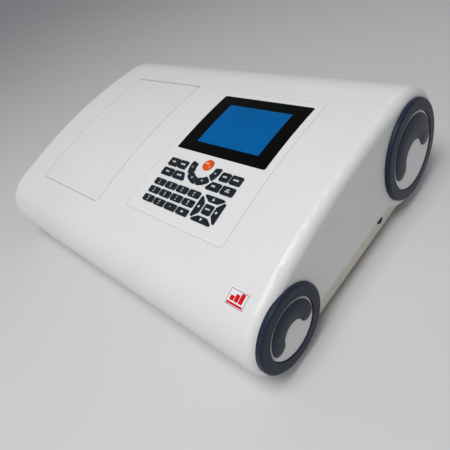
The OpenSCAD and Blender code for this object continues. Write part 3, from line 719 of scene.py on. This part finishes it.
class SPECTRO_OT_keycaps(bpy.types.Operator):
    """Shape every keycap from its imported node: flat top, sloped rim and rounded edges"""

    bl_idname = "spectro.keycaps"
    bl_label = "Keycaps"

    def execute(self, context):
        for node in CAP_NODES:
            cap = self.make_cap(node, settings().keys)
            dress(cap, FINISHES["key_rubber"], node, "key_rubber", node)
        return {"FINISHED"}

    def make_cap(self, node, sizes):
        normal = key_face(node)[1]
        bm = bmesh.new()
        bm.from_mesh(NODES[node].data)
        bmesh.ops.remove_doubles(bm, verts=bm.verts, dist=WELD)
        bmesh.ops.dissolve_limit(bm, angle_limit=math.radians(0.5), verts=bm.verts, edges=bm.edges)
        flat = [f for f in bm.faces if f.normal.dot(normal) > SAME_WAY]
        if not flat:
            raise RuntimeError(f"{node} has no flat top")
        top = max(flat, key=lambda f: f.calc_center_median().dot(normal))
        rim = list(top.verts)
        bmesh.ops.inset_region(bm, faces=[top], thickness=sizes.slope, depth=0.0, use_even_offset=True)
        for vert in rim:
            vert.co -= normal * sizes.fall
        corners = set(rim)
        edges = {e for v in rim for e in v.link_edges if e.other_vert(v) in corners}
        edges |= set(top.edges)
        bmesh.ops.bevel(
            bm, geom=list(edges), offset=sizes.edge, offset_type="OFFSET", segments=2, profile=0.5,
            affect="EDGES", clamp_overlap=True
        )
        return finish_mesh(f"{node}_cap", bm, 32.0)


def dome_top(node):
    """The top point of the domed button and the way it faces."""
    points = [v.co for v in NODES[node].data.vertices]
    low = Vector([min(p[i] for p in points) for i in range(3)])
    high = Vector([max(p[i] for p in points) for i in range(3)])
    middle = (low + high) / 2
    normal = Vector((0.0, middle.y - ARC_Y, middle.z - ARC_Z)).normalized()
    rise = max((p - middle).dot(normal) for p in points)
    return middle + normal * rise, normal


def text_outline(text, size):
    """A mesh of the text, lying flat round the origin."""
    curve = bpy.data.curves.new("legend_text", "FONT")
    curve.body = text
    curve.size = size
    curve.align_x, curve.align_y = "CENTER", "CENTER"
    curve.resolution_u = 3
    curve.extrude = 0.5
    carrier = bpy.data.objects.new("legend_text", curve)
    bpy.context.scene.collection.objects.link(carrier)
    bpy.context.view_layer.update()
    mesh = bpy.data.meshes.new_from_object(carrier.evaluated_get(bpy.context.evaluated_depsgraph_get()))
    bpy.data.objects.remove(carrier)
    bpy.data.curves.remove(curve)
    return mesh


class SPECTRO_OT_legends(bpy.types.Operator):
    """Print the legends on the keys: numbers, arrows and plain word bars"""

    bl_idname = "spectro.legends"
    bl_label = "Legends"

    # Share of the print's thickness that lies in the key.
    SUNK = 0.2
    ARROWS = {"up_key": 90, "left_key": 180, "down_key": 270, "right_key": 0}

    def execute(self, context):
        for node in DIGIT_NODES:
            self.make_legend(node, [("text", node[-1], 5.2, 0.2, 1.0), ("word", 3, 1.0, 0.2, -2.5)])
        self.make_legend("point_key", [("bar", 1.3, 1.3, 0.0, 0.0)])
        self.make_legend("clear_key", [("word", 2, 2.5, 0.0, 0.0)])
        self.make_legend("enter_key", [("word", 4, 2.2, 0.0, 0.4)])
        for node, turn in self.ARROWS.items():
            self.make_legend(node, [("arrow", turn, 2.3, 0.0, 0.0)])
        for number, node in enumerate(ARC_NODES):
            self.make_legend(node, [("text", f"F{number + 1}", 4.0, 0.0, 0.0)])
        for number, node in enumerate(FUNCTION_NODES):
            marks = [("word", 3 + number % 2, 2.5, 0.0, 0.2)]
            if node == FUNCTION_NODES[-1]:
                marks = [("word", 3, 1.9, 0.0, 1.7), ("word", 4, 1.9, 0.0, -1.1)]
            self.make_legend(node, marks)
        self.make_legend("start_button", [("word", 5, 1.7, 0.0, 0.0)])
        return {"FINISHED"}

    def make_legend(self, node, marks):
        """One piece from marks of (kind, what, size, x, y), in millimetres on the key's top.

        What is the text, the number of letters in a word, a bar's width or an arrow's turn in degrees.
        """
        domed = node == "start_button"
        centre, normal = dome_top(node) if domed else key_face(node)
        if node in ARC_NODES:
            centre = self.arc_middle(node, centre, normal)
        right = Vector((1.0, 0.0, 0.0))
        up = normal.cross(right).normalized()
        thick = settings().keys.print_height
        sunk = -self.SUNK * thick
        bm = bmesh.new()

        def place(x, y, h):
            drop = DOME_R - math.sqrt(DOME_R**2 - x * x - y * y) if domed else 0.0
            return centre + right * x + up * y + normal * (h - drop)

        for kind, what, size, x, y in marks:
            x, y, size = x * MM, y * MM, size * MM
            if kind == "text":
                mesh = text_outline(what, size)
                part = bmesh.new()
                part.from_mesh(mesh)
                for v in part.verts:
                    v.co = place(x + v.co.x, y + v.co.y, sunk if v.co.z < 0 else thick)
                part.to_mesh(mesh)
                part.free()
                bm.from_mesh(mesh)
                bpy.data.meshes.remove(mesh)
            elif kind == "word":
                wide, gap = 0.62 * size, 0.30 * size
                for i in range(what):
                    cx = x + (i - (what - 1) / 2) * (wide + gap)
                    outline = [(cx + px, y + py) for px, py in rounded_box(wide, size, 0.12 * size, 2)]
                    prism(bm, outline, place, sunk, thick)
            elif kind == "bar":
                outline = [(x + px, y + py) for px, py in rounded_box(what * MM, size, 0.3 * size, 3)]
                prism(bm, outline, place, sunk, thick)
            elif kind == "arrow":
                turn = math.radians(what)
                points = [(size, 0), (-0.7 * size, 0.85 * size), (-0.7 * size, -0.85 * size)]
                outline = [
                    (
                        x + px * math.cos(turn) - py * math.sin(turn),
                        y + px * math.sin(turn) + py * math.cos(turn)
                    )
                    for px, py in points
                ]
                prism(bm, outline, place, sunk, thick)
        legend = finish_mesh(f"{node}_legend", bm)
        dress(legend, FINISHES["white_print"], node, "white_print")

    def arc_middle(self, node, centre, normal):
        """The middle of a curved key's top, by area."""
        mesh = NODES[node].data
        level = normal.dot(centre)
        total, summed = 0.0, Vector()
        for face in mesh.polygons:
            if face.normal.dot(normal) > SAME_WAY and abs(normal.dot(face.center) - level) < LEVEL_SLACK:
                total += face.area
                summed += face.center * face.area
        return summed / total


class SPECTRO_OT_screen(bpy.types.Operator):
    """Lay the lit picture area on the display window"""

    bl_idname = "spectro.screen"
    bl_label = "Screen"

    WIDTH, LENGTH = 115.2 * MM, 80.4 * MM
    X, Y = 115.2 * MM, 22.7 * MM
    COLUMNS, ROWS = 6, 28
    # Heights of the picture's faces from the cover's surface; the window's top lies between them, at -0.1 mm.
    LIFTS = (-0.12 * MM, -0.04 * MM)

    def grid_point(self, i, j, lift):
        x = self.X + (i / self.COLUMNS - 0.5) * self.WIDTH
        y = self.Y + (j / self.ROWS - 0.5) * self.LENGTH
        return on_skin(x, y, lift)

    def execute(self, context):
        bm = bmesh.new()
        layers = [
            [
                [bm.verts.new(self.grid_point(i, j, lift)) for i in range(self.COLUMNS + 1)]
                for j in range(self.ROWS + 1)
            ]
            for lift in self.LIFTS
        ]
        for layer, flip in zip(layers, (True, False)):
            for j in range(self.ROWS):
                for i in range(self.COLUMNS):
                    quad = [layer[j][i], layer[j][i + 1], layer[j + 1][i + 1], layer[j + 1][i]]
                    bm.faces.new(quad[::-1] if flip else quad)
        low, high = layers
        rim = [(0, i) for i in range(self.COLUMNS)]
        rim += [(j, self.COLUMNS) for j in range(self.ROWS)]
        rim += [(self.ROWS, i) for i in range(self.COLUMNS, 0, -1)]
        rim += [(j, 0) for j in range(self.ROWS, 0, -1)]
        for k, (j, i) in enumerate(rim):
            n, m = rim[(k + 1) % len(rim)]
            bm.faces.new((low[j][i], low[n][m], high[n][m], high[j][i]))
        picture = finish_mesh("lit_screen", bm)
        dress(picture, FINISHES["display_glass"], "housing", "display_glass")
        return {"FINISHED"}


class SPECTRO_OT_badge(bpy.types.Operator):
    """Print a thin frame and a plain mark on the label"""

    bl_idname = "spectro.badge"
    bl_label = "Badge"

    X, Y = 260 * MM, -179.7 * MM
    WIDTH, LENGTH = 26 * MM, 17.8 * MM
    # The label's top over the cover, and how far the print reaches into it and over it.
    LIFT = 0.6 * MM
    PRINT_LOW, PRINT_HIGH = -0.02 * MM, 0.04 * MM
    # The frame's distance from the label's sides and ends, and the width of its line.
    MARGIN_X, MARGIN_Y, LINE = 1.1 * MM, 1.0 * MM, 0.55 * MM

    def strip(self, bm, x0, y0, x1, y1, parts=8):
        """A thin plate on the label between two corners, bent with the cover."""
        rings = []
        for j in range(parts + 1):
            y = self.Y + y0 + (y1 - y0) * j / parts
            rings.append(
                [
                    bm.verts.new(on_skin(self.X + x, y, self.LIFT + h))
                    for x, h in (
                        (x0, self.PRINT_LOW), (x1, self.PRINT_LOW), (x1, self.PRINT_HIGH), (
                            x0, self.PRINT_HIGH
                        )
                    )
                ]
            )
        for a, b in zip(rings, rings[1:]):
            for i in range(4):
                k = (i + 1) % 4
                bm.faces.new((a[i], a[k], b[k], b[i]))
        bm.faces.new(rings[0][::-1])
        bm.faces.new(rings[-1])

    def execute(self, context):
        half_w = self.WIDTH / 2 - self.MARGIN_X
        half_l = self.LENGTH / 2 - self.MARGIN_Y
        line = self.LINE
        bm = bmesh.new()
        self.strip(bm, -half_w, -half_l, -half_w + line, half_l)
        self.strip(bm, half_w - line, -half_l, half_w, half_l)
        self.strip(bm, -half_w + line, -half_l, half_w - line, -half_l + line, 1)
        self.strip(bm, -half_w + line, half_l - line, half_w - line, half_l, 1)
        border = finish_mesh("badge_frame", bm)
        dress(border, FINISHES["badge_maroon"], "housing", "white_print")
        bm = bmesh.new()
        # Three rising bars over a base line, as on a chart.
        for x0, x1, y1 in ((-8.6, -3.4, 1.4), (-2.6, 2.6, 4.2), (3.4, 8.6, 7.0)):
            self.strip(bm, x0 * MM, -3.4 * MM, x1 * MM, y1 * MM, 4)
        self.strip(bm, -10.6 * MM, -6.8 * MM, 10.6 * MM, -4.8 * MM, 2)
        mark = finish_mesh("badge_mark", bm)
        dress(mark, FINISHES["badge_red"], "housing", "white_print")
        return {"FINISHED"}


class SPECTRO_OT_stage(bpy.types.Operator):
    """Set the floor, the light and the camera"""

    bl_idname = "spectro.stage"
    bl_label = "Stage"

    FLOOR_HALF = 6.0
    WORLD_COLOUR, WORLD_STRENGTH = (0.93, 0.95, 1.0, 1.0), 0.25
    # Each light's place and the diameter of its disc; both face the aim point.
    KEY_PLACE, KEY_SIZE = (0.38, -0.62, 1.95), 1.0
    FRONT_PLACE, FRONT_SIZE = (0.1, -2.0, 0.7), 1.2
    LIGHT_AIM = (0.0, 0.0, 0.08)
    # The point that the camera looks at, its lens and its shift.
    TARGET = (0.120324, -0.021957, 0.067)
    SENSOR, LENS = 36.0, 33.988
    SHIFT = (-0.04857, -0.04883)
    CLIP = (0.01, 50.0)

    def execute(self, context):
        s = settings().stage
        self.make_floor(tuple(s.floor))
        self.make_world()
        self.make_light("key_light", self.KEY_PLACE, self.KEY_SIZE, s.key_power)
        self.make_light("front_light", self.FRONT_PLACE, self.FRONT_SIZE, s.fill_power)
        self.make_camera(s)
        context.scene.view_settings.view_transform = "Standard"
        return {"FINISHED"}

    def make_floor(self, colour):
        bm = bmesh.new()
        bmesh.ops.create_grid(bm, x_segments=8, y_segments=8, size=self.FLOOR_HALF)
        floor = finish_mesh("floor", bm)
        made = skin_material(
            "Floor Paint", colour, scaled(colour, 0.985), 0.7, grain=160.0, depth=0.02, cloud=1.5
        )
        floor.data.materials.append(made)

    def make_world(self):
        world = bpy.data.worlds.new("studio")
        world.use_nodes = True
        back = world.node_tree.nodes["Background"]
        back.inputs["Color"].default_value = self.WORLD_COLOUR
        back.inputs["Strength"].default_value = self.WORLD_STRENGTH
        bpy.context.scene.world = world

    def make_light(self, name, place, size, power):
        data = bpy.data.lights.new(name, "AREA")
        data.shape = "DISK"
        data.size = size
        data.energy = power
        lamp = bpy.data.objects.new(name, data)
        lamp.location = place
        aim = Vector(self.LIGHT_AIM) - Vector(place)
        lamp.rotation_euler = aim.to_track_quat("-Z", "Y").to_euler()
        bpy.context.scene.collection.objects.link(lamp)

    def make_camera(self, s):
        data = bpy.data.cameras.new("camera")
        data.sensor_width = self.SENSOR
        data.lens = self.LENS
        data.shift_x, data.shift_y = self.SHIFT
        data.clip_start, data.clip_end = self.CLIP
        camera = bpy.data.objects.new("camera", data)
        a, e, r = s.azimuth, s.elevation, s.roll
        back = Vector((math.sin(a) * math.cos(e), -math.cos(a) * math.cos(e), math.sin(e)))
        right = (-back).cross(Vector((0, 0, 1))).normalized()
        up = right.cross(-back)
        turned_right = right * math.cos(r) + up * math.sin(r)
        turned_up = up * math.cos(r) - right * math.sin(r)
        pose = Matrix((turned_right, turned_up, back)).transposed().to_4x4()
        pose.translation = Vector(self.TARGET) + back * s.distance
        camera.matrix_world = pose
        bpy.context.scene.collection.objects.link(camera)
        bpy.context.scene.camera = camera


OPERATORS = [
    SPECTRO_OT_finishes, SPECTRO_OT_edges, SPECTRO_OT_keycaps, SPECTRO_OT_legends, SPECTRO_OT_screen,
    SPECTRO_OT_badge, SPECTRO_OT_stage,
]


class SPECTRO_PT_panel(bpy.types.Panel):
    """Lists the steps that dress the instrument"""

    bl_idname = "SPECTRO_PT_panel"
    bl_label = "Spectrophotometer"
    bl_space_type = "VIEW_3D"
    bl_region_type = "UI"
    bl_category = "Spectrophotometer"

    def draw(self, context):
        column = self.layout.column()
        for operator in OPERATORS:
            column.operator(operator.bl_idname)
        groups = context.scene.spectro
        for group in (groups.colours, groups.keys, groups.stage):
            box = self.layout.box()
            for name in group.__annotations__:
                box.prop(group, name)


CLASSES = [
    SPECTRO_PG_colours, SPECTRO_PG_keys, SPECTRO_PG_stage, SPECTRO_PG_settings, *OPERATORS, SPECTRO_PT_panel,
]


def register():
    for cls in CLASSES:
        bpy.utils.register_class(cls)
    bpy.types.Scene.spectro = PointerProperty(type=SPECTRO_PG_settings)


def unregister():
    del bpy.types.Scene.spectro
    for cls in reversed(CLASSES):
        bpy.utils.unregister_class(cls)


def main():
    """Runs every step in order."""
    register()
    for operator in OPERATORS:
        group, name = operator.bl_idname.split(".")
        getattr(getattr(bpy.ops, group), name)()


if __name__ == "__main__":
    main()
